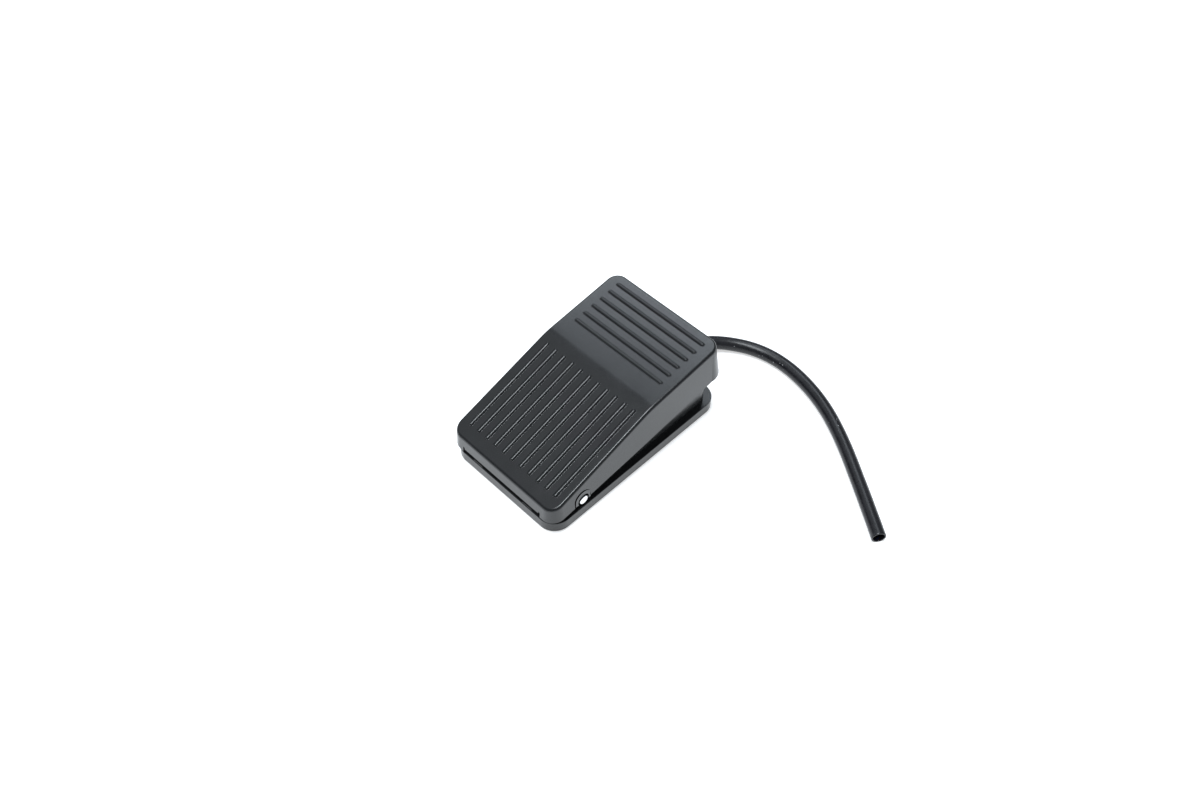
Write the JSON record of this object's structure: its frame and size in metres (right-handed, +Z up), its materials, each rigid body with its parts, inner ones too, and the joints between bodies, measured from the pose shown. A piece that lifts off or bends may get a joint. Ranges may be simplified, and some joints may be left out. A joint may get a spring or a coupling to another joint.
{
  "type": "foot switch pedal",
  "caption": "Small foot switch pedal: a ribbed rocking cover hinged on a steel pin over a flat base, held up by coil springs, pressing a snap-action switch wired to a short round cable.",
  "frame": {"origin": "centre of the base's outline, on the floor under the rubber feet", "axes": "+Z up, +Y towards the high end where the cable leaves, +X to the right seen from the low end"},
  "size_m": [0.1552, 0.1368, 0.0393],
  "materials": {
    "cover_plastic": "black ABS, fine moulded texture, slight sheen",
    "base_plastic": "black ABS, fine moulded texture, slight sheen",
    "steel": "bright zinc-plated steel",
    "spring_steel": "drawn spring wire",
    "plunger_plastic": "red moulded button",
    "switch_plastic": "dark phenolic moulding",
    "contact_brass": "tinned brass",
    "cable_jacket": "black PVC with a soft sheen",
    "clamp_plastic": "black nylon",
    "rubber": "black rubber",
    "wire_black": "PVC insulation",
    "wire_blue": "PVC insulation",
    "wire_brown": "PVC insulation"
  },
  "bodies": {
    "base": {"base_tray": "base_plastic", "hinge_pin": "steel", "return_spring_left": "spring_steel", "return_spring_right": "spring_steel", "microswitch_case": "switch_plastic", "microswitch_cover": "switch_plastic", "switch_screw_front": "steel", "switch_screw_rear": "steel", "cable": "cable_jacket", "cable_jacket_inside": "cable_jacket", "cable_grommet": "rubber", "cable_clamp": "clamp_plastic", "clamp_screw_left": "steel", "clamp_screw_right": "steel", "terminal_common": "contact_brass", "wire_common": "wire_black", "terminal_normally_open": "contact_brass", "wire_normally_open": "wire_blue", "terminal_normally_closed": "contact_brass", "wire_normally_closed": "wire_brown", "rubber_foot_front_left": "rubber", "rubber_foot_front_right": "rubber", "rubber_foot_rear_left": "rubber", "rubber_foot_rear_right": "rubber"},
    "cover": {"pedal_cover": "cover_plastic"},
    "plunger": {"microswitch_plunger": "plunger_plastic"},
    "blade": {"snap_blade": "contact_brass"}
  },
  "joints": [
    {"name": "pedal_hinge", "type": "hinge", "parent": "base", "child": "cover", "pos_m": [0, -0.0323, 0.01025], "axis": [-1, 0, 0], "range_deg": [0, 5], "stiffness_Nm_per_rad": 3, "springref_deg": -8.59, "deforming": ["return_spring_left", "return_spring_right"]},
    {"name": "plunger_slide", "type": "slide", "parent": "base", "child": "plunger", "axis": [0, 0, -1], "range_m": [0, 0.0024]},
    {"name": "blade_hinge", "type": "hinge", "parent": "base", "child": "blade", "pos_m": [0, 0.006, 0.0173], "axis": [1, 0, 0], "range_deg": [0, 12]}
  ],
  "couplings": [
    {"joint": "plunger_slide", "follows": "pedal_hinge", "m_per_rad": 0.0268},
    {"joint": "blade_hinge", "follows": "pedal_hinge", "ratio": 2.35}
  ]
}
